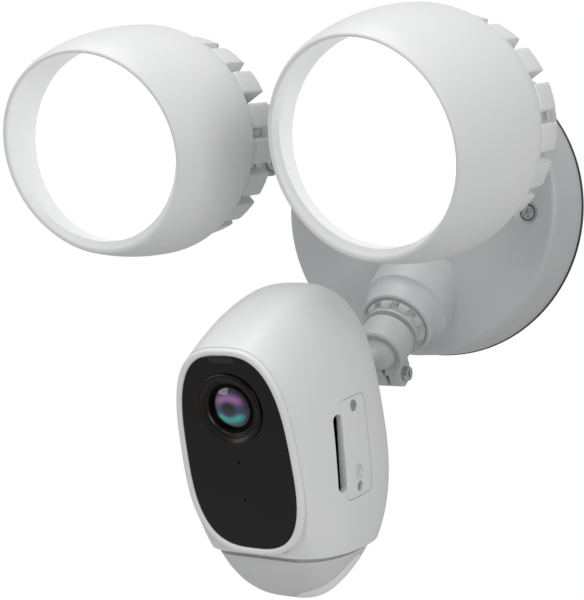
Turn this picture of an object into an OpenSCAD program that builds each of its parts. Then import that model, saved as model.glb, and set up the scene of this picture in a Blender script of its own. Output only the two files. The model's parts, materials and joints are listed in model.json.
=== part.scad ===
// Floodlight security camera: a round wall base that carries two hooded LED
// lamps and a camera head, each on an arm with a clamped ball joint.
// Frame: the origin is the centre of the wall face, +Z is up and -Y is forward.

/* [Base] */
// Radius of the base cover at the wall
base_r = 79; // [75:0.5:86]
// Depth of the base from the wall to its flat face
base_t = 35.5; // [33:0.5:42]
// Radius of the base cover at its flat face
base_face_r = 77.8; // [74:0.2:84]
// Wall thickness of the base cover
base_wall = 2.6; // [2.2:0.1:3.2]
// Thickness of the foam gasket against the wall
gasket_t = 2; // [1.5:0.1:3]
// Half the distance between the two cover screws
cover_screw_x = 61.6; // [56:0.2:65]
// Distance between the two junction-box slots
box_spacing = 88.9; // [82.5:0.1:92]
// Radius of the hole for the house cable
cable_hole_r = 6; // [5:0.5:8]

/* [Lamp] */
// Largest outer radius of a lamp shell
lamp_r = 53.3; // [50:0.1:56]
// Distance from the widest place to the centre of the rim
lamp_front = 46.6; // [43:0.2:50]
// Length over which the shell would taper to a point
lamp_taper = 91; // [84:1:100]
// Distance from the widest place back to the rear edge
lamp_rear = 17; // [14:0.5:20]
// Wall thickness of the lamp shell
lamp_wall = 2.4; // [2:0.1:3]
// Slant of the rim, longer at the top, in degrees
visor_slant = 11; // [4:1:13]
// Radius of the lit diffuser
diffuser_r = 42.7; // [41:0.1:43.5]
// Distance from the widest place to the diffuser
diffuser_z = 29; // [26:0.5:31]
// Number of heat-sink petals
petal_count = 18; // [14:1:20]
// Thickness of one heat-sink petal
petal_t = 11.5; // [9:0.5:12.5]
// Outer radius of the petals
petal_r = 48.4; // [46:0.2:50]
// Distance from the ball centre to the widest place
lamp_reach = 98; // [94:0.5:106]

/* [Camera head] */
// Half width of the black window
window_w = 26.3; // [25:0.1:27]
// Half height of the black window
window_h = 44.2; // [42:0.1:46]
// Distance from the lens centre down to the window centre
window_drop = 20.3; // [18:0.1:22]
// Width of the pale rim around the window
rim_w = 2.8; // [2.2:0.1:3.4]
// Greatest half width of the head
head_w = 35.5; // [34.5:0.1:38]
// Depth of the head behind the window
head_d = 98.5; // [94:0.5:104]
// Wall thickness of the head shell
head_wall = 2.6; // [2.2:0.1:3]
// Radius of the outer lens ring
lens_r = 16; // [14:0.2:17]
// Distance from the ball centre forward to the window
head_reach = 135; // [132:0.5:144]
// Distance from the stem axis up to the lens centre
lens_rise = 21.3; // [18:0.1:24]
// Downward tilt of the head, in degrees
head_tilt = 16.7; // [5:0.1:25]

/* [Arms] */
// Radius of a ball
ball_r = 10; // [9:0.1:11]
// Outer radius of the clamp cup
cup_r = 13.75; // [13:0.05:15]
// Outer radius of the castellated lock ring
ring_r = 16.2; // [15.4:0.1:17]
// Radius of the arm spigot
spigot_r = 8.5; // [7.5:0.1:9]
// Running clearance between a shaft and its bore
run_gap = 0.06; // [0.03:0.01:0.1]

/* [Hidden] */
$fn = 64;
eps = 0.01;
air = 0.3;                                  // gap between parts that move apart
superness = 2.9;                            // squareness of the head sections
stem_r = 8;                                 // straight part of a lamp stem
neck_r = 7;                                 // straight part of the head stem

// Ball centres, and the direction of each port axis as [yaw, pitch down]
LEFT = 0; RIGHT = 1; CAM = 2;
ball_at = [[-72, -77, 41], [72, -77, 41], [0, -75.2, -73.1]];
port_aim = [[-25, 0], [25, 0], [0, 35]];
lamp_aim = [[1, 8], [-1.8, 10]];
lamp_roll = [20, -38];

// ---- shared helpers -------------------------------------------------------

// Turn local +Z to a direction: yaw is positive to +X, pitch is positive down.
// Local +Y then points up.
module aim(a) { rotate([90 + a[1], 0, a[0]]) children(); }

// Frame of a port: origin at the ball centre, +Z outward along the port axis
module port(i) { translate(ball_at[i]) aim(port_aim[i]) children(); }

// Frame of a lamp: origin at the widest place, +Z out through the rim, with the
// long side of the visor toward +Y
module lamp(i) {
    translate(ball_at[i]) aim(lamp_aim[i]) translate([0, 0, lamp_reach])
        rotate([0, 0, lamp_roll[i]]) children();
}

// Frame of the head: origin at the lens centre, -Y forward, +Z up
module head() {
    translate(ball_at[CAM]) rotate([head_tilt, 0, 0])
        translate([0, -head_reach, lens_rise]) children();
}

// A tube, or a ring, with its axis along Z
module tube(r_out, r_in, h) {
    rotate_extrude() translate([r_in, 0]) square([r_out - r_in, h]);
}

// A pan-head screw: head on +Z, underside at the origin, cross recess
module screw(head_r, head_h, shank_r, length) {
    difference() {
        union() {
            cylinder(r = head_r, h = head_h);
            translate([0, 0, -length]) cylinder(r = shank_r, h = length + eps);
        }
        for (a = [0, 90]) rotate(a)
            translate([-head_r * 0.6, -0.4, head_h * 0.45])
                cube([head_r * 1.2, 0.8, head_h]);
    }
}

// A flat plate with round corners, centred, lying in XY
module round_plate(w, l, r, t) {
    linear_extrude(t) {
        square([w - 2 * r, l], center = true);
        square([w, l - 2 * r], center = true);
        for (x = [-1, 1], y = [-1, 1])
            translate([x * (w / 2 - r), y * (l / 2 - r)]) circle(r);
    }
}

// Points of a superellipse that is a little narrower at the top
function oval(w, h, n = 64) = [for (i = [0 : n - 1]) let (a = 360 * i / n,
        v = sign(sin(a)) * pow(abs(sin(a)), 2 / superness))
    [w * (1 - 0.055 * v) * sign(cos(a)) * pow(abs(cos(a)), 2 / superness), h * v]];

// ---- base -----------------------------------------------------------------

ring_z = -24;                               // seat of the lock ring, from the ball
ring_h = 8;
plate_front = gasket_t + 1.5;               // front of the wall plate
sunk = 3;                                   // depth of the lock ring in its boss
spigot_end = -45;
edge_r = 3;

// Half outline of the base cover, from the wall forward
function base_outline(inset) = concat(
    [[0, gasket_t], [base_r - inset, gasket_t]],
    [for (a = [0 : 15 : 90])
        [base_face_r - edge_r - (inset > 0 ? 0.6 : 0) + (edge_r - inset / 2) * cos(a) - inset / 2,
         base_t - edge_r - inset + (edge_r) * sin(a)]],
    [[0, base_t - inset]]);

// The body of a boss: a soft crest around the sunk lock ring, then a wide foot
module boss(i) {
    crest = ring_r + 2.8;
    deep = i == CAM ? 34 : 40;
    port(i) translate([0, 0, ring_z]) rotate_extrude() polygon(concat([[0, 0],
        [ring_r + 0.4, 0], [ring_r + 0.4, sunk - 0.8]],
        [for (a = [150 : -30 : 0]) [crest - 1.5 + 1.5 * cos(a), sunk - 1.5 + 1.5 * sin(a)]],
        [for (a = [15 : 15 : 75]) [crest + 5 - 5 * cos(a), sunk - 4 - 9 * sin(a)]],
        [[crest + 5, -deep], [0, -deep]]));
}

module base_solid(inset) {
    rotate([90, 0, 0]) rotate_extrude($fn = 128) polygon(base_outline(inset));
}

module base_cover() {
    color("gainsboro") difference() {
        union() {
            difference() {
                union() {
                    base_solid(0);
                    difference() {
                        for (i = [LEFT, RIGHT, CAM]) boss(i);
                        translate([-150, -base_t + 1, -150]) cube([300, 200, 300]);
                    }
                }
                difference() {
                    base_solid(base_wall);
                    translate([-200, -gasket_t - 1 - eps, -200]) cube([400, 1, 400]);
                }
                translate([0, -gasket_t + eps, 0]) rotate([90, 0, 0])
                    cylinder(r = base_r - base_wall, h = 1 + 2 * eps, $fn = 128);
            }
            // Posts that the cover screws go through
            for (s = [-1, 1]) translate([s * cover_screw_x, -6, -3.8]) rotate([90, 0, 0])
                cylinder(r = 8, h = base_t - 6 - base_wall + eps);
        }
        for (i = [LEFT, RIGHT, CAM]) port(i) translate([0, 0, -90])
            cylinder(r = spigot_r + run_gap, h = 100);
        // Dished screw pockets and clearance holes
        for (s = [-1, 1]) translate([s * cover_screw_x, 0, -3.8]) rotate([90, 0, 0]) {
            translate([0, 0, base_t - 5]) cylinder(r = 4.3, h = 10);
            translate([0, 0, base_t - 2.2]) cylinder(r1 = 4.3, r2 = 6.6, h = 2.4);
            cylinder(r = 2.2, h = base_t);
        }
    }
}

module base_plate() {
    color("silver") difference() {
        union() {
            translate([0, -gasket_t, 0]) rotate([90, 0, 0])
                cylinder(r = base_r - base_wall - 0.6, h = plate_front - gasket_t, $fn = 128);
            for (s = [-1, 1]) translate([s * cover_screw_x, -plate_front + eps, -3.8])
                rotate([90, 0, 0]) cylinder(r = 5.6, h = 1.5);
        }
        for (s = [-1, 1]) {
            // Slots over the ears of the junction box
            for (x = [-4, 4]) translate([s * box_spacing / 2 + x, 0, 0])
                rotate([90, 0, 0]) cylinder(r = 2.5, h = 20);
            translate([s * box_spacing / 2 - 4, -20, -2.5]) cube([8, 20, 5]);
            translate([s * cover_screw_x, 0, -3.8]) rotate([90, 0, 0])
                cylinder(r = 1.7, h = 20);
        }
        rotate([90, 0, 0]) cylinder(r = 9, h = 20);
    }
}

module base_gasket() {
    color("dimgray") rotate([90, 0, 0])
        tube(base_r + 0.4, base_r - 7, gasket_t - 0.02, $fn = 128);
}

module cable_grommet() {
    front = plate_front + eps;
    color("#2b2b2b") rotate([90, 0, 0]) rotate_extrude() polygon([[cable_hole_r, 0],
        [12, 0], [12, gasket_t - eps], [8.98, gasket_t - eps], [8.98, front],
        [12, front], [11, front + 1.6], [cable_hole_r, front + 1.6]]);
}

module cover_screws() {
    color("silver") for (s = [-1, 1]) translate([s * cover_screw_x, -base_t + 4.98, -3.8])
        rotate([90, 0, 0]) screw(3.6, 2.2, 1.68, base_t - 6.5);
}

module driver_board() {
    color("darkgreen") translate([0, -9, 6]) rotate([90, 0, 0]) difference() {
        round_plate(72, 46, 2, 1.6);
        for (x = [-1, 1], y = [-1, 1]) translate([x * 32, y * 19, -1]) cylinder(r = 1.7, h = 4);
    }
    color("silver") for (x = [-1, 1], y = [-1, 1])
        translate([x * 32, -plate_front - eps, 6 + y * 19]) rotate([90, 0, 0])
            cylinder(r = 2.6, h = 9 - plate_front - eps);
}

module driver_transformer() {
    color("khaki") translate([-26, -28, 4]) cube([20, 17.39, 18]);
    color("#3a3a3a") translate([-29, -25, 7]) cube([26, 12, 12]);
}

module driver_capacitors() {
    color("navy") for (c = [[8, 14, 5.5, 18], [8, -2, 5.5, 18], [24, 12, 4, 12], [24, 0, 3, 10]])
        translate([c[0], -10.61, 6 + c[1] - 5]) rotate([90, 0, 0]) cylinder(r = c[2], h = c[3]);
}

module terminal_block() {
    color("seagreen") difference() {
        translate([-27, -20, -14]) cube([22, 9.39, 10]);
        for (x = [-23, -16, -9]) {
            translate([x, -15, -15]) cylinder(r = 2, h = 6);
            translate([x, -18, -9]) rotate([90, 0, 0]) cylinder(r = 2.2, h = 4);
        }
    }
}

module siren() {
    color("#303030") translate([0, -plate_front - eps, -38]) rotate([90, 0, 0]) {
        difference() {
            cylinder(r = 17, h = 14);
            translate([0, 0, 11]) tube(14, 4, 5);
        }
    }
}

// ---- arms -----------------------------------------------------------------

module lock_ring() {
    bore = spigot_r + run_gap;
    color("whitesmoke") translate([0, 0, ring_z + eps]) difference() {
        rotate_extrude() polygon([[bore, 0], [ring_r, 0], [ring_r, ring_h - 2.4],
            [ring_r - 1.6, ring_h - 0.6], [ring_r - 2.6, ring_h], [bore, ring_h]]);
        for (k = [0 : 9]) rotate(k * 36) translate([ring_r - 2.2, -2.2, sunk + 0.4])
            cube([4, 4.4, ring_h]);
    }
}
module lock_ring_left() { port(LEFT) lock_ring(); }
module lock_ring_right() { port(RIGHT) lock_ring(); }
module lock_ring_camera() { port(CAM) lock_ring(); }

lip_z = 3;                                  // the cup reaches past the equator
lug_at = [0, -cup_r - 4.5, -4.6];           // axis of the clamp screw
lug_w = 6.5;                                // half width across the ears

// Spigot, flange, neck and cup, split at the bottom between two ears
module arm() {
    flange_z = ring_z + ring_h + eps + air;
    color("whitesmoke") difference() {
        union() {
            rotate_extrude() polygon([[0, spigot_end], [spigot_r, spigot_end],
                [spigot_r, flange_z], [cup_r + 0.6, flange_z], [cup_r + 0.6, flange_z + 1.4],
                [cup_r - 2.4, flange_z + 1.6], [cup_r - 2.4, flange_z + 2.9],
                [cup_r - 1, flange_z + 3.1], [cup_r - 0.2, flange_z + 3.9], [cup_r, -9],
                [cup_r, lip_z + 0.2], [cup_r - 1, lip_z + 1.2], [0, lip_z + 1.2]]);
            // Ears with bevelled corners
            translate([-lug_w, 0, 0]) rotate([90, 0, 90]) linear_extrude(2 * lug_w) polygon([
                [-cup_r + 3, -12], [lug_at[1] + 1, -12], [lug_at[1] - 3, -10.4],
                [lug_at[1] - 6, -6], [lug_at[1] - 6, -1.6], [lug_at[1] - 3.4, 1.8],
                [-cup_r + 3, 1.8]]);
        }
        sphere(r = ball_r + run_gap);
        translate([0, 0, lip_z]) cylinder(r1 = sqrt(ball_r * ball_r - lip_z * lip_z) + 0.1,
            r2 = cup_r - 0.9, h = 1.3);
        // Bore for the wires, slit and screw hole
        translate([0, 0, spigot_end - 1]) cylinder(r = 4.5, h = 43);
        translate([-1, -40, -14]) cube([2, 40 - ball_r + 4, 30]);
        translate([-10, lug_at[1], lug_at[2]]) rotate([0, 90, 0]) cylinder(r = 2.1, h = 20);
        translate([-lug_w - 0.5, lug_at[1], lug_at[2]]) rotate([0, 90, 0])
            rotate(30) cylinder(r = 4.05, h = 2.6, $fn = 6);
    }
}
module arm_left() { port(LEFT) arm(); }
module arm_right() { port(RIGHT) arm(); }
module arm_camera() { port(CAM) arm(); }

// Clamp screw across the ears, with a socket head on +X
module clamp_screw() {
    color("silver") translate([lug_w + eps, lug_at[1], lug_at[2]]) rotate([0, 90, 0]) difference() {
        union() {
            cylinder(r = 3.6, h = 3);
            translate([0, 0, -12.6]) cylinder(r = 1.95, h = 12.61);
        }
        translate([0, 0, 1.2]) cylinder(r = 1.7, h = 3, $fn = 6);
    }
}
module clamp_screw_left() { port(LEFT) clamp_screw(); }
module clamp_screw_right() { port(RIGHT) clamp_screw(); }
module clamp_screw_camera() { port(CAM) clamp_screw(); }

module clamp_nut() {
    color("silver") translate([-lug_w + 0.1, lug_at[1], lug_at[2]]) rotate([0, 90, 0]) difference() {
        rotate(30) cylinder(r = 4, h = 1.98, $fn = 6);
        translate([0, 0, -1]) cylinder(r = 1.96, h = 5);
    }
}
module clamp_nut_left() { port(LEFT) clamp_nut(); }
module clamp_nut_right() { port(RIGHT) clamp_nut(); }
module clamp_nut_camera() { port(CAM) clamp_nut(); }

// A ball on a necked stem: +Z leads away from the ball
module ball_stem(profile) {
    rotate_extrude() difference() {
        union() {
            circle(ball_r);
            polygon(concat([[0, 0], [4, 0], [4, 14]], profile, [[0, profile[len(profile) - 1][1]]]));
        }
        translate([-50, -50]) square([50, 100]);
        translate([0, -20]) square([1.8, 120]);
    }
}

// ---- lamps ----------------------------------------------------------------

function shell_r(z) = z >= 0 ? lamp_r * sqrt(1 - pow(z / lamp_taper, 2))
    : lamp_r * sqrt(1 - pow(z / 36, 2));
lamp_tip = lamp_front + 12;
seat_z = diffuser_z - 3;                    // back of the diffuser
rebate_r = diffuser_r + 1.9;                // groove that holds the diffuser
plate_r = shell_r(-lamp_rear) - lamp_wall - 0.1;   // plate that closes the rear
post_r = plate_r - 4.6;                     // circle of the lamp screws
petal_back = -37.5;                         // rear end of the petals
hub_back = petal_back - 4;

// Cut the front of the lamp on the slanted rim plane
module rim_cut(back = 0) {
    difference() {
        children();
        translate([0, 0, lamp_front - back]) rotate([visor_slant, 0, 0])
            translate([-100, -100, 0]) cube([200, 200, 60]);
    }
}

module lamp_shell() {
    step = 6.2;
    inner = diffuser_r + 0.2;
    outer = [for (z = [-lamp_rear : step : lamp_tip]) [shell_r(z), z]];
    hood = [for (z = [diffuser_z : step : lamp_tip])
        [min(inner, shell_r(z) - lamp_wall), z]];
    cavity = [for (z = [-lamp_rear : step : seat_z - 1]) [shell_r(z) - lamp_wall, z]];
    color("whitesmoke") rim_cut() rotate_extrude($fn = 128) polygon(concat(
        [[cavity[0][0], -lamp_rear]], outer, [for (k = [len(hood) - 1 : -1 : 0]) hood[k]],
        [[inner, diffuser_z + eps], [rebate_r, diffuser_z + eps], [rebate_r, seat_z - 0.6]],
        [for (k = [len(cavity) - 1 : -1 : 1]) cavity[k]]));
    // Screw bosses on the inside of the wall
    color("whitesmoke") difference() {
        intersection() {
            for (a = [45 : 90 : 315]) rotate(a) translate([post_r, 0, -lamp_rear + 2.2]) {
                cylinder(r = 3.6, h = 14);
                translate([0, -1.2, 0]) cube([20, 2.4, 14]);
            }
            rotate_extrude() polygon(concat([[0, -lamp_rear]],
                [for (z = [-lamp_rear : step : 3]) [shell_r(z) - 1, z]], [[0, 3]]));
        }
        for (a = [45 : 90 : 315]) rotate(a) translate([post_r, 0, -lamp_rear])
            cylinder(r = 1.5, h = 13);
    }
}

// Lengthwise outline of a petal: X is the distance from the axis, Y along it
module petal_outline() {
    front = -lamp_rear - 0.6;
    outer = 6;
    polygon(concat([[28, front - 2], [34, front], [petal_r - 1.5, front],
        [petal_r, front - 1.5]],
        [for (a = [0 : -15 : -90])
            [petal_r - outer + outer * cos(a), petal_back + outer + outer * sin(a)]],
        [[20, petal_back], [20, front - 8]]));
}

// One petal: the outline turned around the axis, cut to a round-ended strip
module petal() {
    intersection() {
        rotate(-20) rotate_extrude(angle = 40) petal_outline();
        rotate([90, 0, 90]) linear_extrude(petal_r + 3) polygon(concat(
            [[petal_t / 2, 0], [-petal_t / 2, 0]], [for (a = [180 : 15 : 360])
                [petal_t / 2 * cos(a), petal_back + petal_t / 2 * (1 + sin(a)) - 0.5]]));
    }
}

module heatsink() {
    color("gainsboro") difference() {
        union() {
            rotate_extrude() polygon([[0, -lamp_rear + 2], [plate_r, -lamp_rear + 2],
                [plate_r, -lamp_rear - 1.2], [plate_r - 3, -lamp_rear - 3], [24, -28],
                [21, hub_back + 2], [19, hub_back], [0, hub_back]]);
            for (k = [0 : petal_count - 1]) rotate((k + 0.5) * 360 / petal_count) petal();
        }
        translate([0, 0, hub_back - 1]) cylinder(r = stem_r + run_gap, h = 13);
        translate([0, 0, hub_back - 2]) cylinder(r = 3, h = 50);
        for (a = [45 : 90 : 315]) rotate(a) translate([post_r, 0, -60]) {
            cylinder(r = 1.8, h = 60);
            cylinder(r = 3.4, h = 60 - lamp_rear - 1);
        }
    }
}

module lamp_stem() {
    color("whitesmoke") translate([0, 0, -lamp_reach])
        ball_stem([[stem_r - 1, 20], [stem_r, 24], [stem_r, lamp_reach + hub_back + 11.5]]);
}

module diffuser() {
    color("white") translate([0, 0, seat_z]) cylinder(r = rebate_r - 0.1, h = 3, $fn = 128);
}

module reflector() {
    r = diffuser_r;
    color("gainsboro") rotate_extrude($fn = 96) polygon([[32, -lamp_rear + 4.4],
        [33, -lamp_rear + 4], [r - 7.3, 3], [r - 0.1, seat_z - 1.5], [r + 1.1, seat_z - 1.5],
        [r + 1.1, seat_z - 0.6], [r - 1.3, seat_z - 0.6], [r - 8.5, 3.4]]);
}

module led_board() {
    color("white") translate([0, 0, -lamp_rear + 2.01]) difference() {
        cylinder(r = 31.5, h = 1.6);
        translate([0, 0, -1]) cylinder(r = 2.5, h = 12);
    }
}

module leds() {
    color("khaki") for (ring = [[10, 6], [19, 12], [27, 16]], k = [0 : ring[1] - 1])
        rotate(k * 360 / ring[1]) translate([ring[0] - 1.5, -1.5, -lamp_rear + 3.62])
            cube([3, 3, 0.8]);
}

module lamp_seal() {
    color("dimgray") translate([0, 0, seat_z - 0.58]) tube(rebate_r - 0.1, diffuser_r - 1.1, 0.56);
}

module lamp_screws() {
    color("silver") for (a = [45 : 90 : 315]) rotate(a)
        translate([post_r, 0, -lamp_rear - 1.01]) rotate([180, 0, 0]) screw(3, 1.8, 1.48, 11);
}

module lamp_shell_left() { lamp(LEFT) lamp_shell(); }
module heatsink_left() { lamp(LEFT) heatsink(); }
module lamp_stem_left() { lamp(LEFT) lamp_stem(); }
module diffuser_left() { lamp(LEFT) diffuser(); }
module reflector_left() { lamp(LEFT) reflector(); }
module led_board_left() { lamp(LEFT) led_board(); }
module leds_left() { lamp(LEFT) leds(); }
module lamp_seal_left() { lamp(LEFT) lamp_seal(); }
module lamp_screws_left() { lamp(LEFT) lamp_screws(); }
module lamp_shell_right() { lamp(RIGHT) lamp_shell(); }
module heatsink_right() { lamp(RIGHT) heatsink(); }
module lamp_stem_right() { lamp(RIGHT) lamp_stem(); }
module diffuser_right() { lamp(RIGHT) diffuser(); }
module reflector_right() { lamp(RIGHT) reflector(); }
module led_board_right() { lamp(RIGHT) led_board(); }
module leds_right() { lamp(RIGHT) leds(); }
module lamp_seal_right() { lamp(RIGHT) lamp_seal(); }
module lamp_screws_right() { lamp(RIGHT) lamp_screws(); }

// ---- camera head ----------------------------------------------------------

stem_z = -lens_rise;                        // height of the stem axis in the head
seam_z = -68;                               // seam of the dome, at the window
seam_slope = 15.5;                          // the seam falls toward the back
widest = 38;                                // depth of the widest section
crown = 37.3;                               // highest and lowest points of the head
chin = -103;
dome_step = 2.6;                            // the dome is this much narrower
seat_d = 3.6;                               // depth of the collar seat in the back

// Half width, top and bottom of the head at a depth behind the window
function tail(d, p) = d <= widest ? 1
    : pow(1 - pow((d - widest) / (head_d - widest), p), 1 / p);
function head_half_w(d) = d <= widest
    ? head_w - (head_w - window_w - rim_w) * pow((widest - d) / widest, 2.2)
    : head_w * tail(d, 2.3);
function head_top(d) = d <= 52
    ? crown - (crown + window_drop - window_h - rim_w) * pow((52 - d) / 52, 1.7)
    : stem_z + (crown - stem_z) * pow(1 - pow((d - 52) / (head_d - 52), 2.2), 1 / 2.2);
function head_bottom(d) = d <= 30
    ? chin - (chin + window_drop + window_h + rim_w) * pow((30 - d) / 30, 2.6)
    : stem_z + (chin - stem_z) * pow(1 - pow((d - 30) / (head_d - 30), 2.3), 1 / 2.3);

// The head as a stack of superellipse sections, inset by a wall
module head_form(inset, front, back) {
    n = 48;
    depths = concat([front, front + 1.2],
        [for (k = [1 : 12]) front + 1.2 + k * (back - 14 - front) / 12],
        [for (k = [1 : 6]) back - 12.8 + 12.8 * sin(k * 90 / 6)]);
    m = len(depths);
    pts = [for (d = depths) let (
            q = min(d, head_d - 0.05),
            w = max(head_half_w(q) - inset, 0.5),
            t = max(head_top(q) - inset, stem_z + 0.5),
            b = min(head_bottom(q) + inset, stem_z - 0.5))
        for (p = oval(w, (t - b) / 2, n)) [p[0], d, (t + b) / 2 + p[1]]];
    faces = concat([[for (i = [n - 1 : -1 : 0]) i]], [[for (i = [0 : n - 1]) (m - 1) * n + i]],
        [for (j = [0 : m - 2], i = [0 : n - 1]) let (k = (i + 1) % n)
            [j * n + i, j * n + k, (j + 1) * n + k, (j + 1) * n + i]]);
    polyhedron(pts, faces, convexity = 4);
}

// Everything above, or below, the seam plane of the dome
module above_seam(drop = 0) {
    translate([0, 0, seam_z - drop]) rotate([-seam_slope, 0, 0])
        translate([-80, -60, 0]) cube([160, 220, 200]);
}
module below_seam(drop = 0) {
    translate([0, 0, seam_z - drop]) rotate([-seam_slope, 0, 0])
        translate([-80, -60, -100]) cube([160, 220, 100]);
}

// Frame of the card cover on the +X side: Z leads out of the head
module card_frame() {
    translate([head_w - 2.6, 40, -31]) rotate([0, 90, 0]) rotate(90)
        rotate([0, -4, 0]) rotate(-9) children();
}

module head_shell() {
    color("gainsboro") difference() {
        intersection() {
            head_form(0, 1.5, head_d);
            above_seam();
        }
        intersection() {
            head_form(head_wall, -1, head_d - 7.5);
            above_seam(-2.2);
        }
        // Hole and flat seat at the rear for the stem collar
        translate([0, head_d + 5, stem_z]) rotate([90, 0, 0]) cylinder(r = 12.05, h = 30);
        translate([0, head_d + 5, stem_z]) rotate([90, 0, 0]) cylinder(r = 14.3, h = 5 + seat_d);
        // Recess for the card cover, and the finger slot beside it
        card_frame() {
            translate([0, 0, -0.4]) round_plate(22.4, 44.4, 3.4, 12);
            translate([0, 0, -6]) round_plate(17, 32, 2, 12);
            for (y = [18, -18]) translate([0, y, -6]) cylinder(r = 1.15, h = 8);
            translate([-14.1, 0, -3]) round_plate(6.4, 34, 3, 12);
        }
    }
}

module head_bezel() {
    color("whitesmoke") translate([0, 0, -window_drop]) rotate([90, 0, 0]) difference() {
        translate([0, 0, -1.48]) linear_extrude(2.4)
            polygon(oval(window_w + rim_w, window_h + rim_w, 96));
        translate([0, 0, -5]) linear_extrude(12) polygon(oval(window_w, window_h, 96));
    }
}

module window() {
    color("#1c1c1c") difference() {
        translate([0, 0, -window_drop]) rotate([90, 0, 0])
            translate([0, 0, -2]) linear_extrude(2.2)
                polygon(oval(window_w - 0.06, window_h - 0.06, 96));
        translate([0, 5, 0]) rotate([90, 0, 0]) cylinder(r = lens_r - 1, h = 12);
        for (z = [-24.3, -41.5]) translate([0, 5, z]) rotate([90, 0, 0])
            cylinder(r = 0.6, h = 12);
    }
}

module lens_ring() {
    color("#2e2c2b") rotate([90, 0, 0]) rotate_extrude() polygon([
        [lens_r, 0.22], [lens_r, 0.9], [lens_r - 0.8, 1.5], [lens_r - 2, 1.5],
        [lens_r - 3, 0.4], [11.2, -0.6], [11.2, -4], [lens_r - 1.04, -4], [lens_r - 1.04, 0.22]]);
}

module lens_barrel() {
    color("#141414") rotate([90, 0, 0]) rotate_extrude() polygon([
        [9.2, -0.6], [11.16, -0.6], [11.16, -14], [12.5, -14], [12.5, -18],
        [8.2, -18], [8.2, -16.2], [6, -16.2], [6, -6], [9.2, -3]]);
}

module lens_glass() {
    color("steelblue") {
        // Front element: a shallow dome
        rotate([90, 0, 0]) rotate_extrude() intersection() {
            translate([0, -16.6]) circle(18, $fn = 128);
            translate([0, -2.98]) square([9.15, 8]);
        }
        translate([0, 10, 0]) rotate([90, 0, 0]) cylinder(r = 5.95, h = 3);
        translate([0, 16, 0]) rotate([90, 0, 0]) cylinder(r = 5.95, h = 2);
    }
}

module camera_board() {
    color("darkgreen") translate([0, 19.65, 0]) rotate([90, 0, 0]) round_plate(34, 34, 2, 1.6);
    color("#202020") translate([-5.5, 16.9, -5.5]) cube([11, 1.2, 11]);
}

module main_board() {
    color("darkgreen") translate([0, 32, -30]) rotate([90, 0, 0]) round_plate(52, 88, 6, 1.6);
    color("#202020") translate([-12, 32, -30]) cube([24, 2, 24]);
    color("silver") for (x = [-16, 16], z = [-62, 2])
        translate([x, 30.5, z]) rotate([90, 0, 0]) cylinder(r = 2, h = 4);
}

module speaker() {
    color("#303030") translate([0, 48, -48]) rotate([-90, 0, 0]) rotate_extrude() polygon([
        [0, 0], [8, 0], [8, 6], [14, 9], [18, 10], [18, 13], [16, 13], [15, 11.5],
        [6, 9.5], [0, 10.5]]);
    color("silver") translate([-2, 32.01, -50]) cube([4, 16, 4]);
}

module pir_collar() {
    color("gainsboro") difference() {
        intersection() {
            head_form(3.6, 5.2, head_d);
            below_seam(eps);
            above_seam(2.4);
        }
        head_form(7, 8.4, head_d - 8);
    }
}

module pir_dome() {
    color("white") difference() {
        intersection() {
            head_form(dome_step, 4.2, head_d);
            below_seam(2.42);
        }
        head_form(dome_step + 1.8, 6.4, head_d - 3);
    }
}

module pir_sensor() {
    translate([0, 0, seam_z]) rotate([-seam_slope, 0, 0]) translate([0, 32, -1.62]) {
        color("silver") translate([0, 0, -4]) {
            cylinder(r = 4.6, h = 4 - eps);
            translate([0, 0, -1.2]) cylinder(r = 3.6, h = 2);
        }
        color("darkgreen") round_plate(26, 24, 2, 1.6);
    }
}

module card_cover() {
    color("gainsboro") card_frame() difference() {
        translate([0, 0, -0.38]) round_plate(21.8, 43.8, 3.1, 2.4);
        for (y = [18, -18]) translate([0, y, 0.6]) {
            cylinder(r = 2.5, h = 5);
            translate([0, 0, -5]) cylinder(r = 1.2, h = 10);
        }
        translate([0, -11.5, -2]) cylinder(r = 2.6, h = 8);
        translate([0, -11.5, 1.2]) cylinder(r = 3.3, h = 8);
    }
}

module card_cover_screws() {
    color("silver") card_frame() for (y = [18, -18]) translate([0, y, 0.61])
        screw(2.3, 1.2, 1.1, 4.5);
}

module card_reader() {
    color("silver") card_frame() difference() {
        translate([-7, -6, -8]) cube([14, 18, 3]);
        translate([-5.6, -7, -7]) cube([11.2, 16, 1.2]);
    }
    color("#202020") card_frame() translate([-5.5, -5.8, -6.95]) cube([11, 14.6, 1]);
}

button_travel = 0.6;
module reset_button() {
    color("lightgray") card_frame() translate([0, -11.5, 0]) rotate_extrude() polygon([
        [0, -1.9], [3.3, -1.9], [3.3, -1.2], [2.54, -1.2], [2.54, 1.6], [2.1, 2.1], [0, 2.1]]);
}

module button_spring() {
    color("silver") card_frame() translate([0, -11.5, -4.9]) difference() {
        cylinder(r = 3.4, h = 2);
        translate([0, 0, 0.6]) cylinder(r = 2.4, h = 4);
    }
}

module head_collar() {
    r = neck_r + run_gap;
    f = 4 + seat_d - eps;
    color("whitesmoke") translate([0, head_d + 4, stem_z]) rotate([90, 0, 0]) rotate_extrude()
        polygon([[r, 0], [11, 0], [14, f - 4], [14, f], [12, f], [12, 24], [r, 24]]);
}

module head_stem() {
    color("whitesmoke") translate(ball_at[CAM]) rotate([head_tilt, 0, 0]) rotate([90, 0, 0])
        ball_stem([[neck_r, 20], [neck_r, head_reach - head_d + 26]]);
}

module stem_nut() {
    color("silver") translate(ball_at[CAM]) rotate([head_tilt, 0, 0]) rotate([90, 0, 0])
        translate([0, 0, head_reach - head_d + 20 + air]) difference() {
            cylinder(r = 12, h = 4, $fn = 6);
            translate([0, 0, -1]) cylinder(r = neck_r + eps, h = 6);
        }
}

// ---- nodes ----------------------------------------------------------------

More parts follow.
